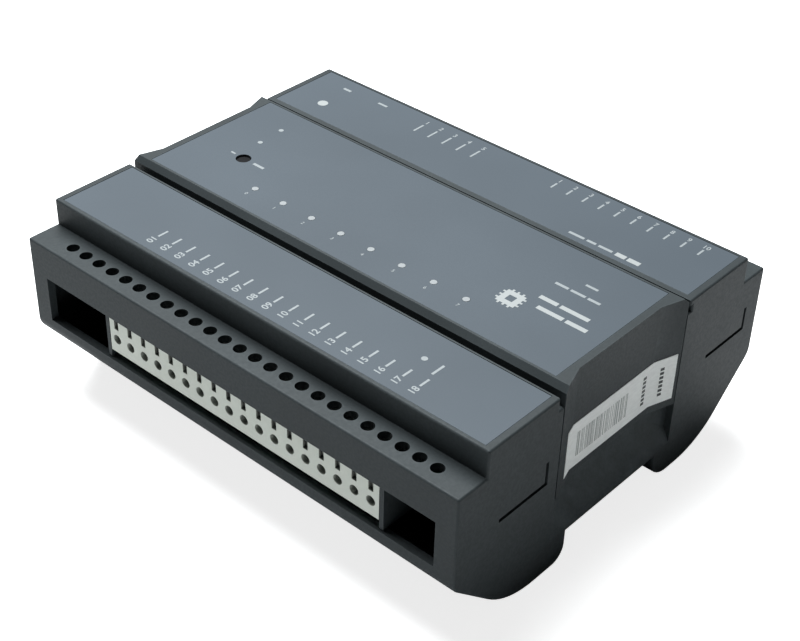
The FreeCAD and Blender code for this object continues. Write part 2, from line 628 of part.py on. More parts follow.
# ---------------------------------------------------------------- rail latches and springs
LATCHES = ((-1, "left"), (1, "right"))
for side, word in LATCHES:
    place = signed(side, "rail_latch_place")
    latch = new_body("din_latch_" + word)
    lengthwise(latch, "Pad", [
        ("latch_nose", "latch_top - 1.7"), ("foot_edge + 0.6", LATCH_LOW), ("latch_tail - 3.8", LATCH_LOW),
        ("latch_tail", "latch_top"), ("latch_nose", "latch_top"),
    ], "2 * latch_half_width", place)
    lengthwise(latch, "Pad", [
        ("foot_edge + 5", "1.2"), ("latch_tail - 7", "1.2"), ("latch_tail - 5.6", LATCH_LOW + " + 0.5"),
        ("foot_edge + 0.8", LATCH_LOW + " + 0.5"),
    ], "2 * latch_half_width - 3", place)
    upright(latch, "Pocket", "latch_top - 3.8", "latch_top + 1", lambda sketch: rectangle(
        sketch, place + " - 2.6", place + " + 2.6", "21", "37"))
    upright(latch, "Pocket", "-1", "latch_top + 1", lambda sketch: rectangle(
        sketch, place + " - 3", place + " + 3", "39.2", "41.0"))

    # compression spring between the latch and the rib of the guide
    turn = doc.addObject("Part::Helix", "latch_spring_path_" + word)
    turn.setExpression("Pitch", bound("spring_pitch"))
    turn.setExpression("Height", bound("spring_length"))
    turn.setExpression("Radius", bound("spring_radius"))
    ring = doc.addObject("Part::Circle", "latch_spring_wire_" + word)
    ring.setExpression("Radius", bound("spring_wire"))
    ring.Placement.Rotation = FreeCAD.Rotation(FreeCAD.Vector(1, 0, 0), 90)
    ring.setExpression("Placement.Base.x", bound("spring_radius"))
    coil = doc.addObject("Part::Sweep", "latch_spring_coil_" + word)
    coil.Sections = [ring]
    coil.Spine = (turn, ["Edge1"])
    coil.Solid = True
    coil.Frenet = True
    coil.Placement.Rotation = FreeCAD.Rotation(FreeCAD.Vector(1, 0, 0), -90)
    for axis, formula in zip("xyz", (place, "spring_start", "latch_top - 1.9")):
        coil.setExpression("Placement.Base." + axis, bound(formula))
    node(coil, "latch_spring_" + word)

# ---------------------------------------------------------------- terminal blocks
BLOCK_BACK = BLOCK_FACE + " - block_depth"
SCREW_LINE = HALF + " - hole_setback"
BLOCK_TOP = BOARD_TOP + " + block_rise"
CAGE_LOW = BOARD_TOP + " + clamp_seat"


def across_poles(poles, side, half_width, near, far):
    """Draws one rectangle a pole, between two distances from the middle of the housing."""
    low, high = sorted((signed(side, near), signed(side, far)), key=value)

    def draw(sketch):
        for index in poles:
            middle = pole(index)
            rectangle(sketch, middle + " - (%s)" % half_width, middle + " + " + half_width, low, high)
    return draw


def pole_circles(poles, side, along, radius):
    def draw(sketch):
        for index in poles:
            circle(sketch, pole(index), signed(side, along), radius)
    return draw


def terminal_block(name, poles, side):
    """Screw terminal block with its screws, lifting wire clamps and solder contacts."""
    clamp_back = BLOCK_FACE + " - clamp_front - clamp_depth"

    def draw_case(sketch):
        low, high = sorted((signed(side, BLOCK_FACE), signed(side, BLOCK_BACK)), key=value)
        rectangle(sketch, pole(poles[0]) + " - pole_pitch / 2", pole(poles[-1]) + " + pole_pitch / 2",
                  low, high)

    def draw_wire_entries(sketch):
        for index in poles:
            circle(sketch, pole(index), BOARD_TOP + " + entry_rise", "entry_radius")

    block = new_body(name + "_block")
    upright(block, "Pad", BOARD_TOP, BLOCK_TOP, draw_case)
    step = BEHIND_FACE + " - fit_gap"
    lengthwise(block, "Pocket", [(signed(side, across), up) for across, up in [
        (HALF, "window_high - fit_gap"), (HALF, BLOCK_TOP + " + 1"),
        (step, BLOCK_TOP + " + 1"), (step, "window_high - fit_gap"),
    ]], "2 * body_length")
    upright(block, "Pocket", BOARD_TOP + " - 1", BOARD_TOP + " + chamber_rise",
            across_poles(poles, side, "clamp_half_width + 0.1", BLOCK_FACE + " - clamp_front + 0.1",
                         BLOCK_FACE + " - contact_back - 0.3"))
    crosswise(block, "Pocket", draw_wire_entries, "2 * clamp_front + 0.2", signed(side, BLOCK_FACE))
    upright(block, "Pocket", BOARD_TOP + " + entry_rise + 3", BLOCK_TOP + " + 1",
            across_poles(poles, side, "0.75", BLOCK_FACE + " - 1.1", BLOCK_FACE + " + 1"))
    upright(block, "Pocket", BOARD_TOP + " + chamber_rise - 1", BLOCK_TOP + " + 1",
            pole_circles(poles, side, SCREW_LINE, "shank_radius + 0.1"))
    upright(block, "Pocket", BOARD_TOP + " + head_seat", BLOCK_TOP + " + 1",
            pole_circles(poles, side, SCREW_LINE, "head_radius + 0.1"))

    screws = new_body(name + "_clamp_screws")
    head_top = BOARD_TOP + " + head_seat + head_rise"
    upright(screws, "Pad", BOARD_TOP + " + contact_rise + 0.2", BOARD_TOP + " + head_seat + 0.1",
            pole_circles(poles, side, SCREW_LINE, "shank_radius"))
    upright(screws, "Pad", BOARD_TOP + " + head_seat", head_top,
            pole_circles(poles, side, SCREW_LINE, "head_radius"))
    upright(screws, "Pocket", head_top + " - 0.9", head_top + " + 1",
            across_poles(poles, side, "0.3", SCREW_LINE + " - 2", SCREW_LINE + " + 2"))

    cages = new_body(name + "_clamp_cages")
    upright(cages, "Pad", CAGE_LOW, CAGE_LOW + " + clamp_rise",
            across_poles(poles, side, "clamp_half_width", BLOCK_FACE + " - clamp_front", clamp_back))
    upright(cages, "Pocket", CAGE_LOW + " + 1", BOARD_TOP + " + contact_rise + 0.1",
            across_poles(poles, side, "clamp_half_width - clamp_wall", BLOCK_FACE, clamp_back + " - 1"))
    upright(cages, "Pocket", BOARD_TOP + " + contact_rise", CAGE_LOW + " + clamp_rise + 1",
            pole_circles(poles, side, SCREW_LINE, "shank_radius + 0.1"))

    contacts = new_body(name + "_contacts")
    contact_back = BLOCK_FACE + " - contact_back"
    upright(contacts, "Pad", BOARD_TOP + " + contact_rise - contact_skin", BOARD_TOP + " + contact_rise",
            across_poles(poles, side, "1.2", BLOCK_FACE + " - 2.4", contact_back))
    upright(contacts, "Pad", BOARD_TOP, BOARD_TOP + " + contact_rise - 0.1",
            across_poles(poles, side, "1.2", contact_back + " + contact_skin", contact_back))
    upright(contacts, "Pad", "board_bottom - 1.6", BOARD_TOP + " + 0.2",
            across_poles(poles, side, "0.5", contact_back + " + contact_skin + 0.1",
                         contact_back + " - 0.1"))


BLOCKS = (
    ("front_terminal", FRONT_POLES, -1),
    ("rear_io_terminal", REAR_IO_POLES, 1),
    ("rear_power_terminal", REAR_POWER_POLES, 1),
)
for name, poles, side in BLOCKS:
    terminal_block(name, list(poles), side)

# ---------------------------------------------------------------- boards and their joining parts
HEADER_PINS = 10
HEADER_LOW = "header_row - header_pitch - 0.06"
HEADER_HIGH = "header_row + header_pitch + 0.06"


def header_pin(index):
    return "header_start + header_pitch * %s" % index


def draw_header_pins(radius):
    def draw(sketch):
        for side in SIDES:
            for index in range(HEADER_PINS):
                circle(sketch, header_pin(index), "header_row + header_pitch / 2 * %d" % side, radius)
    return draw


def draw_header_case(sketch):
    rectangle(sketch, header_pin(-0.5), header_pin(HEADER_PINS - 0.5), HEADER_LOW, HEADER_HIGH)


def draw_spacers(radius):
    def draw(sketch):
        for end in SIDES:
            for side in SIDES:
                circle(sketch, signed(end, "spacer_place_x"), signed(side, "spacer_place_y"), radius)
    return draw


board = new_body("main_pcb")
upright(board, "Pad", "board_bottom", BOARD_TOP, lambda sketch: rectangle(
    sketch, "-board_half_length", "board_half_length", "-board_half_depth", "board_half_depth"))
BLOCK_OVERHANG = " + pole_pitch / 2 + fit_gap / 2"
BOARD_GAPS = (
    (-1, "-(%s)" % END, "-(-(%s)%s)" % (pole(FRONT_POLES[0]), BLOCK_OVERHANG)),
    (-1, pole(FRONT_POLES[-1]) + BLOCK_OVERHANG, END),
    (1, "-(%s)" % END, "-(-(%s)%s)" % (pole(REAR_POWER_POLES[0]), BLOCK_OVERHANG)),
    (1, pole(REAR_POWER_POLES[-1]) + BLOCK_OVERHANG,
     "-(-(%s)%s)" % (pole(REAR_IO_POLES[0]), BLOCK_OVERHANG)),
)
for side, gap_start, gap_end in BOARD_GAPS:
    along = sorted((signed(side, HALF), signed(side, "board_half_depth - board_notch")), key=value)
    upright(board, "Pocket", "board_bottom - 1", BOARD_TOP + " + 1",
            lambda sketch: rectangle(sketch, gap_start, gap_end, *along))
upright(board, "Pocket", "board_bottom - 1", BOARD_TOP + " + 1", draw_bosses("screw_radius + 0.3"))
for name, poles, side in BLOCKS:
    upright(board, "Pocket", "board_bottom - 1", BOARD_TOP + " + 1",
            pole_circles(poles, side, BLOCK_FACE + " - contact_back + contact_skin / 2", "0.8"))
upright(board, "Pocket", "board_bottom - 1", BOARD_TOP + " + 1", draw_header_pins("0.45"))

PANEL_TOP = "panel_bottom + panel_skin"
panel = new_body("indicator_pcb")
upright(panel, "Pad", "panel_bottom", PANEL_TOP, lambda sketch: rectangle(
    sketch, "-panel_half_length", "panel_half_length", "-panel_half_depth", "panel_half_depth"))
upright(panel, "Pocket", "panel_bottom - 1", PANEL_TOP + " + 1", draw_spacers("1.3"))
upright(panel, "Pocket", "panel_bottom - 1", PANEL_TOP + " + 1", draw_header_pins("0.45"))

header = new_body("board_header")
upright(header, "Pad", BOARD_TOP, BOARD_TOP + " + 2.5", draw_header_case)
upright(header, "Pocket", BOARD_TOP + " - 1", BOARD_TOP + " + 3", draw_header_pins("0.4"))
pins = new_body("header_pins")
upright(pins, "Pad", "board_bottom - 1.2", PANEL_TOP + " + 0.8", draw_header_pins("0.32"))
socket = new_body("board_socket")
upright(socket, "Pad", "panel_bottom - 8.5", "panel_bottom", draw_header_case)
upright(socket, "Pocket", "panel_bottom - 9", "panel_bottom + 1", draw_header_pins("0.4"))

spacers = new_body("board_spacers")
upright(spacers, "Pad", BOARD_TOP, "panel_bottom", draw_spacers("2.6"))
upright(spacers, "Pocket", "panel_bottom - 7", "panel_bottom + 1", draw_spacers("1.25"))
board_screws = new_body("board_screws")
upright(board_screws, "Pad", "panel_bottom - 5", PANEL_TOP + " + 0.1", draw_spacers("1.2"))
upright(board_screws, "Pad", PANEL_TOP, PANEL_TOP + " + 1.5", draw_spacers("2.2"))

housing_screws = new_body("housing_screws")
SCREW_NECK = "screw_seat + screw_head_rise"
upright(housing_screws, "Pad", SCREW_NECK + " - 0.1", "screw_tip", draw_bosses("screw_radius"))
upright(housing_screws, "Pad", "screw_seat", SCREW_NECK, draw_bosses("screw_head_radius"))

# ---------------------------------------------------------------- indicators and reset button
group("channel_leds", [
    box("led_%d" % channel,
        (led_place(channel) + " - 1", "led_row - 0.65", PANEL_TOP),
        (led_place(channel) + " + 1", "led_row + 0.65", PANEL_TOP + " + 0.8"))
    for channel in range(CHANNELS)])


def draw_pipes(radius):
    def draw(sketch):
        for channel in range(CHANNELS):
            circle(sketch, led_place(channel), "led_row", radius)
    return draw


pipes = new_body("light_pipes")
upright(pipes, "Pad", PANEL_TOP + " + 1.1", "body_height", draw_pipes("pipe_radius"))
upright(pipes, "Pad", COVER_UNDER + " - 1", COVER_UNDER, draw_pipes("pipe_radius + 0.7"))


def button_disc(body, kind, low, high, radius):
    upright(body, kind, low, high, lambda sketch: circle(sketch, "button_place_x", "button_place_y", radius))


button = new_body("reset_button")
FLANGE_TOP = COVER_UNDER + " - 0.6"
button_disc(button, "Pad", PANEL_TOP + " + 4", FLANGE_TOP, "button_radius - 0.4")
button_disc(button, "Pad", FLANGE_TOP + " - 1", FLANGE_TOP, "button_radius + 0.8")
button_disc(button, "Pad", FLANGE_TOP + " - 0.5", "button_top", "button_radius")

switch = new_body("tact_switch")
upright(switch, "Pad", PANEL_TOP, PANEL_TOP + " + 3.5", lambda sketch: rectangle(
    sketch, "button_place_x - 3", "button_place_x + 3", "button_place_y - 3", "button_place_y + 3"))
button_disc(switch, "Pocket", PANEL_TOP + " + 1.6", PANEL_TOP + " + 4", "button_radius - 0.15")
plunger = new_body("switch_plunger")
button_disc(plunger, "Pad", PANEL_TOP + " + 2.6", PANEL_TOP + " + 4", "button_radius - 0.25")

# ---------------------------------------------------------------- parts soldered to the main board
ON_BOARD = BOARD_TOP


def chip(name, x, y, length, width, rise):
    """Block that stands on the main board, centred at x, y."""
    return box(name, ("%s - %s / 2" % (x, length), "%s - %s / 2" % (y, width), ON_BOARD),
               ("%s + %s / 2" % (x, length), "%s + %s / 2" % (y, width), ON_BOARD + " + %s" % rise))


group("output_relays", [chip("relay_%d" % i, 18 + 11 * i, 34, 7.4, 20.5, 15.3) for i in range(4)])
group("input_optocouplers", [
    chip("optocoupler_%d" % i, -35 + 10.16 * i, -38, 4.6, 6.5, 3.4) for i in range(CHANNELS)])
group("bulk_capacitors", [
    post("bulk_capacitor_%d" % i, -38 + 12 * i, 36, ON_BOARD, ON_BOARD + " + 20", 5) for i in range(2)])
node(chip("power_inductor_core", -6, 38, 12, 12, 7.5), "power_inductor")
node(chip("processor_case", -6, 0, 14, 14, 1.4), "processor_chip")
node(chip("memory_case", 14, -2, 6, 5, 1.6), "memory_chip")
node(chip("transceiver_case", -30, -8, 5, 4, 1.6), "bus_transceiver")
node(chip("crystal_case", -6, -14, 11, 4.6, 3.5), "crystal")
node(chip("regulator_case", -24, 14, 10, 9, 4.5), "voltage_regulator")
group("ceramic_capacitors", [
    chip("ceramic_%d" % i, -26 + 8 * i, -22, 2.0, 1.25, 1.2) for i in range(8)])
group("resistor_row", [
    chip("resistor_%d" % index, pole(index), -44, 1.6, 3.2, 0.6) for index in FRONT_POLES])

# glass fuse in two spring clips
FUSE_Z = ON_BOARD + " + 5.0"
fuse = doc.addObject("Part::Cylinder", "fuse_tube")
fuse.setExpression("Radius", "2.5")
fuse.setExpression("Height", "20")
fuse.Placement.Rotation = FreeCAD.Rotation(FreeCAD.Vector(0, 1, 0), 90)
for axis, formula in zip("xyz", ("-56", "0", FUSE_Z)):
    fuse.setExpression("Placement.Base." + axis, bound(formula))
node(fuse, "fuse")
clips = new_body("fuse_clips")
for place in ("-53", "-39"):
    sketch = new_sketch(clips, "YZ_Plane", place)
    outline(sketch, [
        ("-3.2", ON_BOARD), ("3.2", ON_BOARD), ("3.2", FUSE_Z + " + 1.5"), ("2.6", FUSE_Z + " + 1.5"),
        ("2.6", ON_BOARD + " + 2.2"), ("-2.6", ON_BOARD + " + 2.2"), ("-2.6", FUSE_Z + " + 1.5"),
        ("-3.2", FUSE_Z + " + 1.5"),
    ])
    pad(clips, sketch, "4", True)

# ---------------------------------------------------------------- checks and output
doc.recompute()

for obj in doc.Objects:
    faults = [state for state in obj.State if state in ("Invalid", "Error")]
    if faults:
        raise RuntimeError("%s (%s) failed: %s" % (obj.Label, obj.Name, obj.getStatusString()))
    if obj.TypeId == "PartDesign::Pocket" and obj.Shape.Volume > obj.BaseFeature.Shape.Volume - 0.001:
        raise RuntimeError("%s removes nothing" % obj.Label)
    if obj.TypeId == "PartDesign::Pad" and obj.BaseFeature:
        if obj.Shape.Volume < obj.BaseFeature.Shape.Volume + 0.001:
            raise RuntimeError("%s adds nothing" % obj.Label)
for obj in nodes:
    if obj.Shape.isNull() or not obj.Shape.isValid() or not obj.Shape.Solids:
        raise RuntimeError("%s has no sound shape" % obj.Label)

os.makedirs("parts", exist_ok=True)
for obj in nodes:
    obj.Shape.exportStep(os.path.join("parts", obj.Label + ".step"))
    print(obj.Label, len(obj.Shape.Solids), round(obj.Shape.Volume, 1))
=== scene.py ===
import json
import math
import random

import bpy
import bmesh
from mathutils import Matrix, Vector


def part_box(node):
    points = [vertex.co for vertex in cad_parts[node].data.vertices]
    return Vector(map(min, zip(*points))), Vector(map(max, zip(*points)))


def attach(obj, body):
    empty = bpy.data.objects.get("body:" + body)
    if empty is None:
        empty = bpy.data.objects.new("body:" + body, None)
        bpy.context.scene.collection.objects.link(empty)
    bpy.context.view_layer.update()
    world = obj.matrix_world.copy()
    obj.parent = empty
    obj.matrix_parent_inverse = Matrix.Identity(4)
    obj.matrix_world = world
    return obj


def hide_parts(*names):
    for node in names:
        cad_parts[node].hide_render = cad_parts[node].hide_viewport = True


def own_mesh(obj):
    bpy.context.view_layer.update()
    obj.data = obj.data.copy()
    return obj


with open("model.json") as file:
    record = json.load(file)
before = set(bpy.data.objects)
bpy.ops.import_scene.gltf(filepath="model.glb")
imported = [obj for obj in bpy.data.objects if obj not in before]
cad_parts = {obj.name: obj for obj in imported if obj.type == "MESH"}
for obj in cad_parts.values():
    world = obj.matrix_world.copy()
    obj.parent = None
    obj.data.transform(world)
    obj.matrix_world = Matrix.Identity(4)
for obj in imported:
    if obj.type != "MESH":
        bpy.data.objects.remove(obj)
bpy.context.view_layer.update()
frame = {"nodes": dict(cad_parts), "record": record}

MM = 0.001
scene = bpy.context.scene
nodes = frame["nodes"]
record = frame["record"]
slot_of = {part["node"]: part["material_slot"] for part in record["subparts"]}


# ------------------------------------------------------------------ materials
class Look:
    """A material with its Principled shader and short ways to add texture nodes."""

    def __init__(self, name):
        self.material = bpy.data.materials.new(name)
        self.material.use_nodes = True
        self.tree = self.material.node_tree
        self.surface = self.tree.nodes["Principled BSDF"]
        self.place = self.node("ShaderNodeTexCoord").outputs["Object"]

    def node(self, kind, settings=None, **sockets):
        made = self.tree.nodes.new(kind)
        for key, setting in (settings or {}).items():
            setattr(made, key, setting)
        for key, source in sockets.items():
            self.feed(made.inputs[key.replace("_", " ")], source)
        return made

    def feed(self, socket, source):
        if isinstance(source, bpy.types.NodeSocket):
            self.tree.links.new(source, socket)
        else:
            socket.default_value = source

    def set(self, key, source):
        self.feed(self.surface.inputs[key], source)

    def noise(self, scale, detail, stretch=None):
        place = self.place
        if stretch:
            scaled = self.node("ShaderNodeVectorMath", {"operation": "MULTIPLY"})
            self.feed(scaled.inputs[0], self.place)
            scaled.inputs[1].default_value = stretch
            place = scaled.outputs[0]
        return self.node("ShaderNodeTexNoise", Vector=place, Scale=scale, Detail=detail).outputs["Fac"]

    def cells(self, scale, feature="F1"):
        return self.node("ShaderNodeTexVoronoi", {"feature": feature}, Vector=self.place,
                         Scale=scale).outputs["Distance"]

    def remap(self, source, low, high, start, end):
        made = self.node("ShaderNodeMapRange", Value=source)
        for key, number in (("From Min", low), ("From Max", high), ("To Min", start), ("To Max", end)):
            made.inputs[key].default_value = number
        return made.outputs["Result"]

    def math(self, operation, first, second):
        made = self.node("ShaderNodeMath", {"operation": operation})
        self.feed(made.inputs[0], first)
        self.feed(made.inputs[1], second)
        return made.outputs[0]

    def mix(self, share, first, second):
        made = self.node("ShaderNodeMix", {"data_type": "RGBA"})
        self.feed(made.inputs[0], share)
        self.feed(made.inputs[6], first)
        self.feed(made.inputs[7], second)
        return made.outputs[2]

    def edges(self, radius):
        """About 1 along outer edges and corners, 0 on flat faces."""
        soft = self.node("ShaderNodeBevel", {"samples": 4}, Radius=radius).outputs["Normal"]
        hard = self.node("ShaderNodeNewGeometry").outputs["True Normal"]
        dot = self.node("ShaderNodeVectorMath", {"operation": "DOT_PRODUCT"})
        self.feed(dot.inputs[0], soft)
        self.feed(dot.inputs[1], hard)
        return self.remap(dot.outputs["Value"], 1.0, 0.94, 0.0, 1.0)

    def hollows(self, reach, floor):
        """A factor that falls to floor inside narrow holes and gaps."""
        made = self.node("ShaderNodeAmbientOcclusion", {"samples": 6}, Distance=reach)
        return self.remap(made.outputs["AO"], 0.25, 0.85, floor, 1.0)

    def bump(self, height, distance, strength, below=None):
        made = self.node("ShaderNodeBump", Height=height, Distance=distance, Strength=strength)
        if below is not None:
            self.feed(made.inputs["Normal"], below)
        return made.outputs["Normal"]


def colour(tint, factor=1.0):
    return tuple(min(1.0, part * factor) for part in tint) + (1.0,)


def moulded(name, tint, rough, grain=0.00035, depth=0.00003, wear_and_highlight=0.35, spread=0.14,
            shine=0.13, hole_shade=0.0):
    """Injection-moulded plastic with a spark-eroded grain, edges lightened partly as rubbed wear and partly
    as a painted highlight, and optional painted shade inside holes.
    """
    look = Look(name)
    drift = look.remap(look.noise(35.0, 3.0), 0.3, 0.7, 0.0, 1.0)
    speck = look.remap(look.noise(1.0 / (grain * 2.2), 1.0), 0.35, 0.65, 0.0, 1.0)
    base = look.mix(drift, colour(tint, 1 - spread), colour(tint, 1 + spread))
    base = look.mix(look.math("MULTIPLY", speck, 0.35), base, colour(tint, 1 - 1.6 * spread))
    # edges lightened partly as rubbed wear, partly as a painted highlight
    patchy = look.remap(look.noise(240.0, 3.0), 0.35, 0.7, 0.1, 1.0)
    rubbed_and_highlit = look.math("MULTIPLY", look.edges(0.0005), patchy)
    base = look.mix(look.math("MULTIPLY", rubbed_and_highlit, wear_and_highlight), base, colour(tint, 2.6))
    # painted shade: the colour is darkened towards near black inside holes and narrow gaps
    if hole_shade:
        base = look.mix(look.hollows(0.003, 1 - hole_shade), colour((0.03, 0.03, 0.03)), base)
    look.set("Base Color", base)
    uneven = look.math("ADD", drift, speck)
    look.set("Roughness", look.remap(uneven, 0.0, 2.0, rough - 0.07, rough + 0.07))
    look.set("Specular IOR Level", shine)
    grains = look.cells(1.0 / grain, "SMOOTH_F1")
    look.set("Normal", look.bump(grains, depth, 0.5, look.bump(look.noise(90.0, 2.0), 0.0001, 0.25)))
    return look


def printed_sheet(name, tint, rough):
    """Polyester film printed in one colour, with a fine satin tooth and a slight waviness."""
    look = Look(name)
    drift = look.remap(look.noise(22.0, 2.0), 0.3, 0.7, 0.0, 1.0)
    tooth = look.noise(5200.0, 1.0)
    base = look.mix(drift, colour(tint, 0.93), colour(tint, 1.06))
    base = look.mix(look.remap(tooth, 0.35, 0.65, 0.0, 0.3), base, colour(tint, 0.8))
    look.set("Base Color", base)
    look.set("Roughness", look.remap(tooth, 0.3, 0.7, rough - 0.05, rough + 0.06))
    look.set("Specular IOR Level", 0.15)
    wave = look.bump(look.noise(60.0, 1.0), 0.0002, 0.35)
    look.set("Normal", look.bump(tooth, 0.00001, 0.35, wave))
    return look


def ink(name, tint, cover=0.85):
    """Screen-printed ink with an uneven coat."""
    look = Look(name)
    thin = look.remap(look.noise(2600.0, 3.0), 0.42, 0.75, 0.0, 1.0 - cover)
    look.set("Base Color", look.mix(thin, colour(tint), colour(tint, 0.55)))
    look.set("Roughness", look.remap(look.noise(900.0, 2.0), 0.3, 0.7, 0.42, 0.62))
    look.set("Normal", look.bump(look.noise(3000.0, 2.0), 0.00001, 0.4))
    return look


def metal(name, tint, rough, brushed=(1.0, 1.0, 1.0), tarnish=0.25):
    """Plated or drawn metal with fine streaks and dull patches."""
    look = Look(name)
    streak = look.noise(2600.0, 3.0, brushed)
    patch = look.remap(look.noise(420.0, 3.0), 0.45, 0.75, 0.0, tarnish)
    base = look.mix(streak, colour(tint, 0.82), colour(tint, 1.08))
    look.set("Base Color", look.mix(patch, base, colour(tint, 0.45)))
    look.set("Metallic", 1.0)
    uneven = look.math("ADD", streak, patch)
    look.set("Roughness", look.remap(uneven, 0.3, 1.0, rough - 0.06, rough + 0.16))
    look.set("Normal", look.bump(streak, 0.00001, 0.5))
    return look


def circuit(name):
    """Green solder mask over copper tracks."""
    look = Look(name)
    rows = look.node("ShaderNodeTexBrick", {"offset": 0.37, "squash": 1.7},
                     Vector=look.place, Scale=260.0, Mortar_Size=0.06, Brick_Width=1.3, Row_Height=0.22)
    track = rows.outputs["Fac"]
    pads = look.remap(look.cells(330.0), 0.12, 0.16, 1.0, 0.0)
    base = look.mix(track, colour((0.012, 0.085, 0.035)), colour((0.03, 0.16, 0.07)))
    base = look.mix(look.math("MULTIPLY", pads, 0.7), base, colour((0.38, 0.38, 0.34)))
    look.set("Base Color", base)
    look.set("Roughness", look.remap(look.noise(700.0, 2.0), 0.3, 0.7, 0.28, 0.42))
    look.set("Normal", look.bump(track, 0.00003, 0.6))
    return look


def paper(name, tint):
    """Matt label stock with fibres."""
    look = Look(name)
    fibre = look.noise(1500.0, 4.0, (1.0, 0.35, 1.0))
    cloudy = look.remap(fibre, 0.3, 0.7, 0.0, 1.0)
    look.set("Base Color", look.mix(cloudy, colour(tint, 0.93), colour(tint, 1.03)))
    look.set("Roughness", look.remap(fibre, 0.3, 0.7, 0.55, 0.75))
    look.set("Specular IOR Level", 0.35)
    look.set("Normal", look.bump(fibre, 0.00002, 0.4))
    return look


def clear(name, tint, rough, through):
    """Clear or frosted plastic, or glass."""
    look = Look(name)
    cloud = look.noise(900.0, 2.0)
    look.set("Base Color", look.mix(cloud, colour(tint, 0.9), colour(tint, 1.05)))
    look.set("Roughness", look.remap(cloud, 0.3, 0.7, rough - 0.04, rough + 0.08))
    look.set("Transmission Weight", through)
    look.set("Normal", look.bump(cloud, 0.00001, 0.3))
    return look


LOOKS = {
    "housing_plastic": moulded("housing_plastic", (0.042, 0.050, 0.053), 0.50),
    "base_plastic": moulded("base_plastic", (0.032, 0.036, 0.037), 0.56),
    "cover_plastic": moulded("cover_plastic", (0.042, 0.050, 0.053), 0.48),
    "printed_film": printed_sheet("printed_film", (0.081, 0.099, 0.117), 0.46),
    "paper_label": paper("paper_label", (0.90, 0.92, 0.90)),
    "latch_plastic": moulded("latch_plastic", (0.030, 0.031, 0.033), 0.48),
    "spring_steel": metal("spring_steel", (0.56, 0.56, 0.57), 0.26, (1.0, 4.0, 1.0)),
    # terminal plastic gets painted shade inside its wire holes
    "terminal_plastic": moulded("terminal_plastic", (0.72, 0.755, 0.685), 0.46, 0.0004, 0.00002, 0.0, 0.04,
                                hole_shade=0.9),
    "zinc_steel": metal("zinc_steel", (0.62, 0.63, 0.65), 0.34),
    "nickel_brass": metal("nickel_brass", (0.62, 0.60, 0.52), 0.36, (1.0, 1.0, 5.0)),
    "tinned_copper": metal("tinned_copper", (0.68, 0.68, 0.67), 0.38),
    "circuit_board": circuit("circuit_board"),
    "connector_plastic": moulded("connector_plastic", (0.020, 0.020, 0.021), 0.46),
    "led_epoxy": clear("led_epoxy", (0.85, 0.86, 0.78), 0.22, 0.5),
    "clear_guide": clear("clear_guide", (0.30, 0.32, 0.33), 0.45, 0.1),
    "button_plastic": moulded("button_plastic", (0.006, 0.006, 0.007), 0.60, shine=0.08),
    "relay_case": moulded("relay_case", (0.05, 0.09, 0.20), 0.34),
    "chip_epoxy": moulded("chip_epoxy", (0.020, 0.020, 0.022), 0.55),
    "capacitor_sleeve": moulded("capacitor_sleeve", (0.02, 0.025, 0.06), 0.30),
    "ferrite": moulded("ferrite", (0.045, 0.045, 0.048), 0.50),
    "crystal_can": metal("crystal_can", (0.60, 0.60, 0.61), 0.22),
    "ceramic_chip": moulded("ceramic_chip", (0.30, 0.24, 0.17), 0.40),
    "fuse_glass": clear("fuse_glass", (0.85, 0.90, 0.90), 0.06, 0.95),
}
LIGHT_INK = ink("light_ink", (0.26, 0.285, 0.295))
WHITE_INK = ink("white_ink", (0.33, 0.35, 0.35))
GREY_INK = ink("grey_ink", (0.36, 0.38, 0.37))
BLACK_INK = ink("black_ink", (0.045, 0.05, 0.05))


# ------------------------------------------------------------------ CAD nodes carried over
ROUNDING = {
    "top_housing": 0.45, "base_housing": 0.40, "centre_cover": 0.55,
    "front_terminal_block": 0.18, "rear_io_terminal_block": 0.18, "rear_power_terminal_block": 0.18,
    "din_latch_left": 0.35, "din_latch_right": 0.35, "output_relays": 0.5, "processor_chip": 0.15,
    "power_inductor": 0.5, "reset_button": 0.25, "main_pcb": 0.1, "indicator_pcb": 0.1,
}


def soften(obj, width):
    """Rounds the sharp edges of a carried-over CAD node."""
    weld = obj.modifiers.new("weld", "WELD")
    weld.merge_threshold = 0.000002
    flat = obj.modifiers.new("flat", "DECIMATE")
    flat.decimate_type = "DISSOLVE"
    flat.angle_limit = math.radians(0.6)
    bevel = obj.modifiers.new("bevel", "BEVEL")
    bevel.width = width * MM
    bevel.segments = 3
    bevel.limit_method = "ANGLE"
    bevel.angle_limit = math.radians(32)
    obj.modifiers.new("shade", "WEIGHTED_NORMAL").weight = 100


for name, obj in nodes.items():
    obj.data.materials.clear()
    obj.data.materials.append(LOOKS[slot_of[name]].material)
    soften(obj, ROUNDING.get(name, 0.08))


# ------------------------------------------------------------------ new pieces
def ring(x, y, radius, sides):
    angles = [2 * math.pi * i / sides for i in range(sides)]
    return [(x + radius * math.cos(a), y + radius * math.sin(a)) for a in angles]


def rounded_outline(x0, x1, y0, y1, radius, steps=6):
    points = []
    for cx, cy, start in ((x1 - radius, y1 - radius, 0), (x0 + radius, y1 - radius, 90),
                          (x0 + radius, y0 + radius, 180), (x1 - radius, y0 + radius, 270)):
        for i in range(steps + 1):
            angle = math.radians(start + 90 * i / steps)
            points.append((cx + radius * math.cos(angle), cy + radius * math.sin(angle)))
    return points


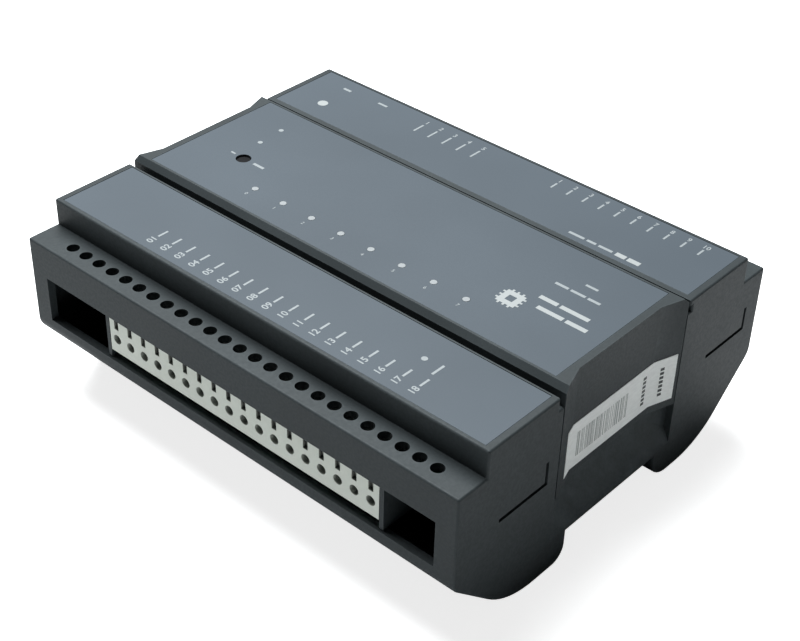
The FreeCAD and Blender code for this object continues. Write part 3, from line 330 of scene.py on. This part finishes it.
class Solid:
    """Collects closed shapes, measured in millimetres, and turns them into one piece."""

    def __init__(self):
        self.mesh = bmesh.new()

    def stack(self, layers, place=None):
        """Skin over matching outlines, given as (outline, height) from the bottom up."""
        place = place or Matrix.Identity(4)
        rings = [[self.mesh.verts.new((place @ Vector((x, y, z))) * MM) for x, y in points]
                 for points, z in layers]
        self.mesh.faces.new(list(reversed(rings[0])))
        self.mesh.faces.new(rings[-1])
        count = len(rings[0])
        for lower, upper in zip(rings, rings[1:]):
            for i in range(count):
                j = (i + 1) % count
                self.mesh.faces.new((lower[i], lower[j], upper[j], upper[i]))

    def prism(self, points, low, high, place=None):
        self.stack([(points, low), (points, high)], place)

    def block(self, x0, x1, y0, y1, low, high, place=None):
        self.prism([(x0, y0), (x1, y0), (x1, y1), (x0, y1)], low, high, place)

    def disc(self, x, y, radius, low, high, sides=32):
        self.prism(ring(x, y, radius, sides), low, high)

    def turned(self, x, y, profile, place=None, sides=32):
        """Round part from (radius, height) pairs, bottom up."""
        self.stack([(ring(x, y, radius, sides), z) for radius, z in profile], place)

    def case(self, x0, x1, y0, y1, low, high, waist, draft, corner=0.12):
        """Moulded body that narrows above and below its parting line."""
        self.stack([(rounded_outline(x0 + inset, x1 - inset, y0 + inset, y1 - inset, corner, 3), z)
                    for inset, z in ((draft, low), (0.0, waist), (draft, high - 0.08), (draft + 0.08, high))])

    def cross_head(self, x, y, radius, low, high, arm, depth, place=None):
        """Round head with a cross recess in its top."""
        self.turned(x, y, ((radius * 0.96, low), (radius, low + 0.15), (radius, high - depth)), place)
        gap = arm / 2
        for quarter in range(4):
            start = math.pi / 2 * quarter
            edge = math.asin(gap / radius)
            arc = [start + edge + (math.pi / 2 - 2 * edge) * i / 8 for i in range(9)]
            inner = (x + gap * 1.414 * math.cos(start + math.pi / 4),
                     y + gap * 1.414 * math.sin(start + math.pi / 4))
            layers = []
            for reach, z in ((radius, high - depth), (radius, high - 0.35), (radius * 0.86, high)):
                outer = [(x + reach * math.cos(a), y + reach * math.sin(a)) for a in arc]
                layers.append(([inner] + outer, z))
            self.stack(layers, place)

    def lead(self, x, y, heading, top, reach, width=0.4, thick=0.15):
        """Gull-wing lead down to the board, leaving a case along a heading in quarter turns."""
        quarter = math.pi / 2 * heading
        out = Vector((round(math.cos(quarter)), round(math.sin(quarter)), 0))
        up = Vector((0, 0, 1))
        turn = Matrix((out, up, out.cross(up))).transposed().to_4x4()
        half = thick / 2
        foot = BOARD_TOP + thick
        profile = [(-0.2, top - half), (reach * 0.30, top - half), (reach * 0.50, BOARD_TOP),
                   (reach, BOARD_TOP), (reach, foot), (reach * 0.62, foot), (reach * 0.42, top + half),
                   (-0.2, top + half)]
        self.prism(profile, -width / 2, width / 2, Matrix.Translation((x, y, 0)) @ turn)

    def figures(self, text, size, x, y, low, high, turn, weight):
        """Raised numbers whose middle is at x, y."""
        curve = bpy.data.curves.new("figures", "FONT")
        curve.body = text
        curve.size = size
        curve.align_x = "CENTER"
        curve.align_y = "CENTER"
        curve.extrude = (high - low) / 2
        curve.offset = weight
        curve.resolution_u = 3
        obj = bpy.data.objects.new("figures", curve)
        scene.collection.objects.link(obj)
        bpy.context.view_layer.update()
        shape = obj.evaluated_get(bpy.context.evaluated_depsgraph_get()).to_mesh()
        place = Matrix.Scale(MM, 4) @ Matrix.Translation((x, y, (low + high) / 2))
        shape.transform(place @ Matrix.Rotation(turn, 4, "Z"))
        self.mesh.from_mesh(shape)
        obj.to_mesh_clear()
        bpy.data.objects.remove(obj)
        bpy.data.curves.remove(curve)

    def piece(self, name, look, slot, replaced=(), rounding=0.0):
        """One object on the housing, in place of the CAD nodes named in replaced."""
        data = bpy.data.meshes.new(name)
        bmesh.ops.recalc_face_normals(self.mesh, faces=self.mesh.faces)
        self.mesh.to_mesh(data)
        self.mesh.free()
        obj = bpy.data.objects.new(name, data)
        scene.collection.objects.link(obj)
        data.materials.append(look.material)
        if rounding:
            bevel = obj.modifiers.new("bevel", "BEVEL")
            bevel.width = rounding * MM
            bevel.segments = 2
            bevel.angle_limit = math.radians(40)
        data.shade_smooth()
        data.set_sharp_from_angle(angle=math.radians(35))
        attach(obj, "housing")
        if replaced:
            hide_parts(*replaced)
        return obj


def extent(node):
    """Low and high corner of a CAD node in millimetres."""
    low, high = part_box(node)
    return low / MM, high / MM


def spread(node, count, size):
    """Middles along X of equal parts in one node, each of the given size."""
    low, high = extent(node)
    first = low.x + size / 2
    step = (high.x - low.x - size) / (count - 1)
    return [first + step * i for i in range(count)]


POLE = 5.08
FIRST_POLE = -60.0
FRONT_POLES = range(4, 22)
REAR_IO_POLES = range(15, 25)
REAR_POWER_POLES = range(6, 11)
INK_DEPTH = 0.03
INK_ROOT = 0.02
LABEL_THICK = 0.15
BOARD_TOP = 25.5
# lays a shape down so that its height runs along X
ALONG_X = Matrix(((0, 0, 1, 0), (1, 0, 0, 0), (0, 1, 0, 0), (0, 0, 0, 1)))


def pole(index):
    """Middle along X of a ledge hole and of the pole behind it."""
    return FIRST_POLE + POLE * index


# printing on the front film
low, high = extent("front_film")
bed, top = high.z - INK_ROOT, high.z + INK_DEPTH
marks = Solid()
for n, index in enumerate(FRONT_POLES, start=1):
    x = pole(index)
    marks.block(x - 0.30, x + 0.30, low.y + 5.4, low.y + 8.6, bed, top)
    marks.figures("%02d" % n, 2.7, x, low.y + 3.4, bed, top, math.radians(90), 0.06)
x = pole(21)
marks.block(x - 1.15, x - 0.5, low.y + 10.4, low.y + 14.6, bed, top)
marks.disc(x - 5.8, low.y + 13.6, 0.8, bed, top)
marks.piece("front_film_marks", LIGHT_INK, "printed_film")

# printing on the rear film
low, high = extent("rear_film")
bed, top = high.z - INK_ROOT, high.z + INK_DEPTH
marks = Solid()
for n, index in enumerate(REAR_IO_POLES, start=1):
    x = pole(index)
    marks.block(x - 0.28, x + 0.28, high.y - 6.6, high.y - 3.8, bed, top)
    marks.figures("%d" % n, 2.2, x, high.y - 2.4, bed, top, 0.0, 0.05)
for n, index in enumerate(REAR_POWER_POLES, start=1):
    x = pole(index)
    marks.block(x - 0.28, x + 0.28, high.y - 9.2, high.y - 5.0, bed, top)
    marks.figures("%d" % n, 2.2, x, high.y - 3.4, bed, top, 0.0, 0.05)
marks.block(-60.2, -57.4, 44.0, 44.9, bed, top)
marks.block(-47.2, -43.9, 44.6, 45.4, bed, top)
for start, end in ((32.6, 37.4), (38.2, 41.0), (41.8, 46.0)):
    marks.block(start, end, 28.5, 29.4, bed, top)
marks.piece("rear_film_marks", LIGHT_INK, "printed_film")
bright = Solid()
bright.disc(-58.4, 33.9, 1.5, bed, top)
for start, end in ((47.0, 50.0), (50.6, 54.2)):
    bright.block(start, end, 28.2, 29.8, bed, top)
bright.piece("rear_film_bright_marks", WHITE_INK, "printed_film")

# printing on the centre film
low, high = extent("centre_film")
bed, top = high.z - INK_ROOT, high.z + INK_DEPTH
marks = Solid()
for channel in range(8):
    marks.figures("%d" % channel, 1.5, -37 + 10.16 * channel, -16.4, bed, top, 0.0, 0.02)
marks.block(-46.4, -42.6, -5.2, -4.3, bed, top)
marks.block(-55.2, -53.6, -4.8, -4.2, bed, top)
marks.disc(-53.8, 12.8, 0.7, bed, top)
marks.disc(-53.2, 4.3, 0.7, bed, top)
marks.block(51.0, 54.6, 10.7, 11.5, bed, top)
for start, end in ((45.1, 49.0), (49.7, 54.0), (54.7, 58.3)):
    marks.block(start, end, 6.4, 7.3, bed, top)
marks.piece("centre_film_marks", LIGHT_INK, "printed_film")

# square pictogram of a controller chip, and two rows of bars
bright = Solid()
X_MARK, Y_MARK = 41.5, -5.7
for x0, x1, y0, y1 in ((-2.7, 2.7, 1.1, 2.7), (-2.7, 2.7, -2.7, -1.1),
                       (-2.7, -1.1, -1.1, 1.1), (1.1, 2.7, -1.1, 1.1)):
    bright.block(X_MARK + x0, X_MARK + x1, Y_MARK + y0, Y_MARK + y1, bed, top)
for k in (-1.5, 0.0, 1.5):
    for near, far in ((-3.4, -2.7), (2.7, 3.4)):
        bright.block(X_MARK + k - 0.3, X_MARK + k + 0.3, Y_MARK + near, Y_MARK + far, bed, top)
        bright.block(X_MARK + near, X_MARK + far, Y_MARK + k - 0.3, Y_MARK + k + 0.3, bed, top)
for start, end in ((45.9, 51.2), (52.0, 60.3)):
    bright.block(start, end, -0.9, 0.5, bed, top)
for start, end in ((48.0, 55.6), (56.4, 62.4)):
    bright.block(start, end, -4.7, -3.3, bed, top)
bright.piece("centre_film_bright_marks", WHITE_INK, "printed_film")

# bars and square blocks on the end label
low, high = extent("side_label")
face = low.x + LABEL_THICK
dice = random.Random(7)
bars = Solid()
y = -14.0
while y < 6.0:
    width = dice.choice((0.18, 0.18, 0.3, 0.45))
    bars.block(y, y + width, low.z + 3.0, high.z - 3.4, face - INK_ROOT, face + INK_DEPTH, ALONG_X)
    y += width + dice.choice((0.25, 0.35, 0.6))
bars.piece("label_bars", GREY_INK, "paper_label")
dark = Solid()
for k in range(7):
    z = low.z + 2.4 + 1.3 * k
    dark.block(12.2, 13.5, z, z + 0.85, face - INK_ROOT, face + INK_DEPTH, ALONG_X)
flank = high.x - low.x - LABEL_THICK
lean = math.atan2(flank, high.y - 16.0)
slanted = Matrix.Translation((face, 16.0, 0)) @ Matrix.Rotation(-lean, 4, "Z") @ ALONG_X
for k in range(7):
    z = low.z + 2.4 + 1.3 * k
    dark.block(2.4, 3.6, z, z + 0.85, -INK_ROOT, INK_DEPTH, slanted)
dark.piece("label_dark_marks", BLACK_INK, "paper_label")


# ------------------------------------------------------------------ springs of the rail latches
def coil(name, node):
    """Wire coil with closed ends."""
    low, high = extent(node)
    wire = 0.3
    middle = Vector(((low.x + high.x) / 2, 0, (low.z + high.z) / 2))
    radius = (high.x - low.x) / 2 - wire
    start, end = low.y + wire, high.y - wire
    turns, steps, sides, closed = 9.0, 30, 8, 0.75
    spring = Solid()
    rings = []
    count = int(turns * steps)
    for i in range(count + 1):
        turn = i / steps
        share = min(max((turn - closed) / (turns - 2 * closed), 0.0), 1.0)
        rest = min(turn, closed) / closed + max(turn - turns + closed, 0.0) / closed
        y = start + wire * rest + (end - start - 2 * wire) * share
        angle = 2 * math.pi * turn
        out = Vector((math.cos(angle), 0, math.sin(angle)))
        centre = middle + out * radius + Vector((0, y, 0))
        section = []
        for k in range(sides):
            around = 2 * math.pi * k / sides
            offset = out * math.cos(around) + Vector((0, math.sin(around), 0))
            section.append(spring.mesh.verts.new((centre + offset * wire) * MM))
        rings.append(section)
    for one, two in zip(rings, rings[1:]):
        for k in range(sides):
            after = (k + 1) % sides
            spring.mesh.faces.new((one[k], one[after], two[after], two[k]))
    spring.mesh.faces.new(rings[0])
    spring.mesh.faces.new(list(reversed(rings[-1])))
    made = spring.piece(name, LOOKS["spring_steel"], "spring_steel", (node,))
    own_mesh(made)


for word in ("left", "right"):
    coil("latch_coil_" + word, "latch_spring_" + word)


# ------------------------------------------------------------------ screws
def thread(solid, x, y, radius, low, high):
    """Shank with a coarse run of thread crests."""
    profile = [(radius - 0.25, low)]
    z = low + 0.4
    while z < high - 0.6:
        profile += [(radius - 0.25, z), (radius, z + 0.18), (radius - 0.25, z + 0.36)]
        z += 0.7
    solid.turned(x, y, profile + [(radius - 0.25, high)], sides=20)


low, high = extent("housing_screws")
screws = Solid()
head = 2.8
flip = Matrix.Diagonal((1, 1, -1, 1))
for sx in (-1, 1):
    for sy in (-1, 1):
        x, y = sx * (high.x - head), sy * (high.y - head)
        screws.cross_head(x, y, 2.75, -low.z - 2.0, -low.z, 0.9, 1.1, flip)
        thread(screws, x, y, 1.3, low.z + 1.9, high.z)
screws.piece("cross_head_screws", LOOKS["zinc_steel"], "zinc_steel", ("housing_screws",))

low, high = extent("board_screws")
screws = Solid()
head = 2.2
for sx in (-1, 1):
    for sy in (-1, 1):
        x, y = sx * (high.x - head), sy * (high.y - head)
        screws.cross_head(x, y, 2.15, high.z - 1.5, high.z, 0.7, 0.8)
        thread(screws, x, y, 1.2, low.z, high.z - 1.4)
screws.piece("spacer_screws", LOOKS["zinc_steel"], "zinc_steel", ("board_screws",))

# ------------------------------------------------------------------ electronics on the boards
legs = Solid()

low, high = extent("processor_chip")
chips = Solid()
chips.case(low.x + 1, high.x - 1, low.y + 1, high.y - 1, low.z + 0.1, high.z, low.z + 0.7, 0.1)
chips.disc(low.x + 2.1, low.y + 2.1, 0.4, high.z - 0.02, high.z + 0.01)
for k in range(16):
    step = -5.625 + 0.75 * k
    x, y = (low.x + high.x) / 2 + step, (low.y + high.y) / 2 + step
    legs.lead(x, high.y - 1, 1, low.z + 0.7, 1.0, 0.3)
    legs.lead(x, low.y + 1, 3, low.z + 0.7, 1.0, 0.3)
    legs.lead(high.x - 1, y, 0, low.z + 0.7, 1.0, 0.3)
    legs.lead(low.x + 1, y, 2, low.z + 0.7, 1.0, 0.3)
for node in ("memory_chip", "bus_transceiver"):
    low, high = extent(node)
    chips.case(low.x, high.x, low.y + 0.8, high.y - 0.8, low.z + 0.1, high.z, low.z + 0.8, 0.12)
    chips.disc(low.x + 0.7, low.y + 1.4, 0.25, high.z - 0.02, high.z + 0.01)
    for k in range(4):
        x = (low.x + high.x) / 2 + (k - 1.5) * (high.x - low.x) * 0.23
        legs.lead(x, high.y - 0.8, 1, low.z + 0.8, 0.8)
        legs.lead(x, low.y + 0.8, 3, low.z + 0.8, 0.8)
low, high = extent("input_optocouplers")
for x in spread("input_optocouplers", 8, 4.6):
    chips.case(x - 2.3, x + 2.3, low.y + 0.9, high.y - 0.9, low.z + 0.3, high.z, low.z + 1.7, 0.2)
    chips.disc(x - 1.6, low.y + 1.7, 0.35, high.z - 0.02, high.z + 0.01)
    for side in (-1.27, 1.27):
        legs.lead(x + side, high.y - 0.9, 1, low.z + 1.7, 0.9, 0.8, 0.25)
        legs.lead(x + side, low.y + 0.9, 3, low.z + 1.7, 0.9, 0.8, 0.25)
low, high = extent("voltage_regulator")
chips.case(low.x, high.x, low.y + 2.2, high.y - 1.4, low.z + 0.2, high.z, low.z + 1.4, 0.25)
legs.block(low.x + 0.8, high.x - 0.8, high.y - 3.0, high.y, low.z, low.z + 1.25)
for side in (-2.54, 2.54):
    legs.lead((low.x + high.x) / 2 + side, low.y + 2.2, 3, low.z + 2.4, 2.2, 0.8, 0.4)
chips.piece("chip_cases", LOOKS["chip_epoxy"], "chip_epoxy",
            ("processor_chip", "memory_chip", "bus_transceiver", "input_optocouplers",
             "voltage_regulator"), 0.05)

low, high = extent("output_relays")
relays = Solid()
for x in spread("output_relays", 4, 7.4):
    relays.stack([(rounded_outline(x - 3.5, x + 3.5, low.y + 0.2, high.y - 0.2, 0.4), low.z + 0.3),
                  (rounded_outline(x - 3.5, x + 3.5, low.y + 0.2, high.y - 0.2, 0.4), low.z + 1.6)])
    relays.stack([(rounded_outline(x - 3.7 + inset, x + 3.7 - inset, low.y + inset, high.y - inset, 0.6), z)
                  for inset, z in ((0.0, low.z + 1.5), (0.08, high.z - 0.5), (0.4, high.z))])
    relays.disc(x, high.y - 3.0, 0.7, high.z - 0.1, high.z + 0.12)
    for y in (low.y + 2.5, low.y + 8.0, high.y - 2.5):
        legs.block(x - 0.4, x + 0.4, y - 0.2, y + 0.2, low.z - 1.9, low.z + 0.4)
relays.piece("relay_cases", LOOKS["relay_case"], "relay_case", ("output_relays",), 0.08)

low, high = extent("bulk_capacitors")
cans, tops = Solid(), Solid()
for x in spread("bulk_capacitors", 2, 10.0):
    y = (low.y + high.y) / 2
    cans.turned(x, y, ((4.7, low.z), (5.0, low.z + 0.4), (5.0, low.z + 1.8), (4.6, low.z + 2.3),
                       (5.0, low.z + 2.8), (5.0, high.z - 0.5), (4.85, high.z - 0.1), (4.2, high.z)),
                sides=48)
    tops.cross_head(x, y, 4.1, high.z - 0.6, high.z - 0.02, 0.35, 0.12)
    for side in (-2.5, 2.5):
        legs.disc(x + side, y, 0.35, low.z - 2.2, low.z + 0.3, 16)
cans.piece("capacitor_sleeves", LOOKS["capacitor_sleeve"], "capacitor_sleeve", ("bulk_capacitors",))
tops.piece("capacitor_tops", LOOKS["crystal_can"], "crystal_can")

low, high = extent("power_inductor")
x, y = (low.x + high.x) / 2, (low.y + high.y) / 2
core = Solid()
core.prism(rounded_outline(low.x, high.x, low.y, high.y, 2.2), low.z + 0.2, low.z + 1.6)
core.stack([(rounded_outline(low.x + 0.1, high.x - 0.1, low.y + 0.1, high.y - 0.1, 2.4), low.z + 1.5),
            (rounded_outline(low.x + 0.1, high.x - 0.1, low.y + 0.1, high.y - 0.1, 2.4), high.z - 0.3),
            (rounded_outline(low.x + 0.5, high.x - 0.5, low.y + 0.5, high.y - 0.5, 2.2), high.z)])
core.turned(x, y, ((4.3, high.z - 0.3), (4.3, high.z - 0.05), (4.0, high.z + 0.2)), sides=48)
core.piece("inductor_core", LOOKS["ferrite"], "ferrite", ("power_inductor",))
for side in (-1, 1):
    legs.block(x + side * 5.6 - 0.5, x + side * 5.6 + 0.5, y - 2.2, y + 2.2, low.z, low.z + 0.4)

low, high = extent("crystal")
y, half = (low.y + high.y) / 2, (high.y - low.y) / 2
can = Solid()
can.prism(rounded_outline(low.x, high.x, low.y, high.y, half - 0.01), low.z, low.z + 0.45)
can.stack([(rounded_outline(low.x + inset, high.x - inset, low.y + inset, high.y - inset,
                            half - inset - 0.01), z)
           for inset, z in ((0.45, low.z + 0.4), (0.45, high.z - 0.5), (0.6, high.z - 0.15), (1.0, high.z))])
can.piece("crystal_case", LOOKS["crystal_can"], "crystal_can", ("crystal",))

small = Solid()
low, high = extent("ceramic_capacitors")
for x in spread("ceramic_capacitors", 8, 2.0):
    small.block(x - 0.6, x + 0.6, low.y + 0.03, high.y - 0.03, low.z + 0.03, high.z - 0.03)
    for side in (-1, 1):
        middle = x + side * 0.75
        legs.prism(rounded_outline(middle - 0.25, middle + 0.25, low.y, high.y, 0.1, 2), low.z, high.z)
low, high = extent("resistor_row")
for x in spread("resistor_row", 18, 1.6):
    small.block(x - 0.78, x + 0.78, low.y + 0.5, high.y - 0.5, low.z + 0.03, high.z)
    for y in (low.y + 0.25, high.y - 0.25):
        legs.block(x - 0.8, x + 0.8, y - 0.25, y + 0.25, low.z, high.z - 0.02)
small.piece("ceramic_bodies", LOOKS["ceramic_chip"], "ceramic_chip",
            ("ceramic_capacitors", "resistor_row"), 0.04)
legs.piece("chip_leads", LOOKS["tinned_copper"], "tinned_copper")

# glass fuse with metal caps
low, high = extent("fuse")
y, z = (low.y + high.y) / 2, (low.z + high.z) / 2
tube, caps = Solid(), Solid()
tube.turned(y, z, ((2.35, low.x + 0.6), (2.35, high.x - 0.6)), ALONG_X)
for start, end in ((low.x, low.x + 5.0), (high.x - 5.0, high.x)):
    caps.turned(y, z, ((2.2, start), (2.5, start + 0.3), (2.5, end - 0.3), (2.4, end)), ALONG_X)
tube.piece("fuse_tube", LOOKS["fuse_glass"], "fuse_glass", ("fuse",))
caps.piece("fuse_caps", LOOKS["nickel_brass"], "nickel_brass")

# indicator lamps with a moulded lens
low, high = extent("channel_leds")
lamps = Solid()
for x in spread("channel_leds", 8, 2.0):
    y = (low.y + high.y) / 2
    lamps.block(x - 1.0, x + 1.0, low.y, high.y, low.z, low.z + 0.35)
    lamps.case(x - 0.62, x + 0.62, low.y + 0.05, high.y - 0.05, low.z + 0.3, high.z, low.z + 0.34, 0.08)
lamps.piece("lamp_lenses", LOOKS["led_epoxy"], "led_epoxy", ("channel_leds",), 0.03)


# ------------------------------------------------------------------ stage, light and camera
def camera_only(tree):
    """A factor of 1 for what the camera sees directly, 0 for light bounced off pieces."""
    return tree.nodes.new("ShaderNodeLightPath").outputs["Is Camera Ray"]


# pale floor that looks white to the camera and can't be seen from below
floor_look = Look("floor_look")
direct = camera_only(floor_look.tree)
pale = floor_look.mix(floor_look.noise(3.0, 2.0), colour((0.76, 0.76, 0.76)), colour((0.79, 0.79, 0.79)))
floor_look.set("Base Color", pale)
floor_look.set("Roughness", 0.9)
floor_look.set("Specular IOR Level", 0.1)
floor_look.set("Emission Color", colour((1.0, 1.0, 1.0)))
away = floor_look.node("ShaderNodeVectorMath", {"operation": "LENGTH"}, Vector=floor_look.place)
glow = floor_look.remap(away.outputs["Value"], 0.2, 0.7, 0.8, 1.0)
floor_look.set("Emission Strength", floor_look.math("MULTIPLY", direct, glow))
under = floor_look.node("ShaderNodeNewGeometry").outputs["Backfacing"]
floor_look.set("Alpha", floor_look.math("SUBTRACT", 1.0, under))
data = bpy.data.meshes.new("floor")
data.from_pydata([(-6, -6, 0), (6, -6, 0), (6, 6, 0), (-6, 6, 0)], [], [(0, 1, 2, 3)])
floor = bpy.data.objects.new("floor", data)
floor.location.z = -0.0001
scene.collection.objects.link(floor)
data.materials.append(floor_look.material)

# white backdrop for the camera, dim fill light for the pieces
world = bpy.data.worlds.new("studio")
scene.world = world
world.use_nodes = True
tree = world.node_tree
background = tree.nodes["Background"]
background.inputs["Color"].default_value = (1.0, 1.0, 1.0, 1.0)
strength = tree.nodes.new("ShaderNodeMapRange")
strength.inputs["To Min"].default_value = 0.05
strength.inputs["To Max"].default_value = 1.0
tree.links.new(camera_only(tree), strength.inputs["Value"])
tree.links.new(strength.outputs["Result"], background.inputs["Strength"])


def softbox(name, place, aim, width, depth, power):
    lamp = bpy.data.lights.new(name, "AREA")
    lamp.shape = "RECTANGLE"
    lamp.size = width
    lamp.size_y = depth
    lamp.energy = power
    lamp.color = (0.95, 0.985, 1.0)
    obj = bpy.data.objects.new(name, lamp)
    scene.collection.objects.link(obj)
    obj.location = place
    obj.rotation_mode = "QUATERNION"
    obj.rotation_quaternion = (Vector(aim) - Vector(place)).to_track_quat("-Z", "Y")


softbox("top_light", (-0.60, 0.24, 1.24), (0.0, 0.0, 0.0), 1.05, 0.9, 45.0)

EYE = (0.22492, -0.25682, 0.27339)
GAZE = (-0.52922, 0.61052, -0.58923)
ROLL_DEGREES = 1.69
LENS = 72.58

view = bpy.data.cameras.new("camera")
view.lens = LENS
view.sensor_width = 36.0
view.clip_start = 0.01
view.clip_end = 50.0
camera = bpy.data.objects.new("camera", view)
scene.collection.objects.link(camera)
forward = Vector(GAZE).normalized()
level = forward.cross(Vector((0, 0, 1))).normalized()
rise = level.cross(forward)
roll = math.radians(ROLL_DEGREES)
right = level * math.cos(roll) + rise * math.sin(roll)
above = rise * math.cos(roll) - level * math.sin(roll)
turn = Matrix((right, above, -forward)).transposed().to_4x4()
camera.matrix_world = Matrix.Translation(EYE) @ turn
scene.camera = camera
scene.view_settings.view_transform = "Standard"
